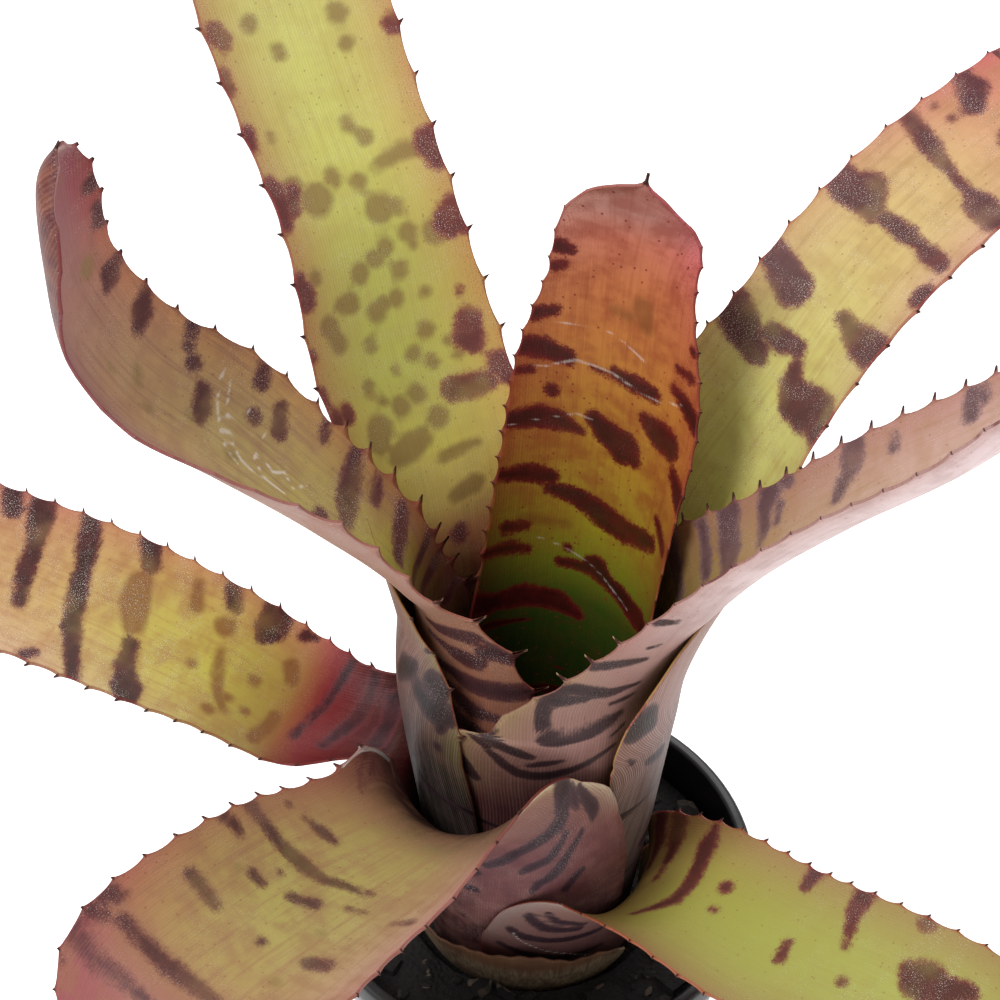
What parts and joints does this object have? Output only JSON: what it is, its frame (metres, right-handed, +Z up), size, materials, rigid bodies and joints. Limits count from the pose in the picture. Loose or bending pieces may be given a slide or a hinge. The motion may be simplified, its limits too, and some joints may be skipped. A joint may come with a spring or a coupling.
{
  "type": "potted bromeliad",
  "caption": "Tank bromeliad with broad arching banded leaves, nested at the base into an upright tube, in a round black nursery pot filled with soil.",
  "frame": {"origin": "middle of the pot's flat underside", "axes": "+Z up along the pot's and the plant's axis, -Y to the front of the plant, the side with the lowest leaf sheaths"},
  "size_m": [0.4973, 0.3487, 0.5096],
  "materials": {
    "pot_plastic": "satin black injection-moulded plastic",
    "potting_mix": "damp bark and peat mix",
    "stump": "rough woody stem",
    "leaf_orange": "stiff satin leaf, olive to orange with dark maroon bands",
    "leaf_tan": "stiff satin leaf, tan with purple-brown bands and pale scurf",
    "leaf_rose": "stiff satin leaf, rosy tan with charcoal-purple bands and pale scurf",
    "leaf_yellow": "stiff satin leaf, yellow-green with orange margins and brown blotches",
    "leaf_green": "stiff satin leaf, yellow-green with maroon bands and pale scurf",
    "dry_sheath": "dry torn papery leaf base"
  },
  "bodies": {
    "root": {"pot": "pot_plastic", "soil": "potting_mix", "stem": "stump", "leaf_centre": "leaf_orange", "leaf_left_upper": "leaf_tan", "leaf_right": "leaf_rose", "leaf_back_left": "leaf_yellow", "leaf_back_right": "leaf_yellow", "leaf_left_lower": "leaf_tan", "leaf_front_left": "leaf_tan", "leaf_front_right": "leaf_green", "sheath_dry": "dry_sheath"}
  },
  "joints": []
}
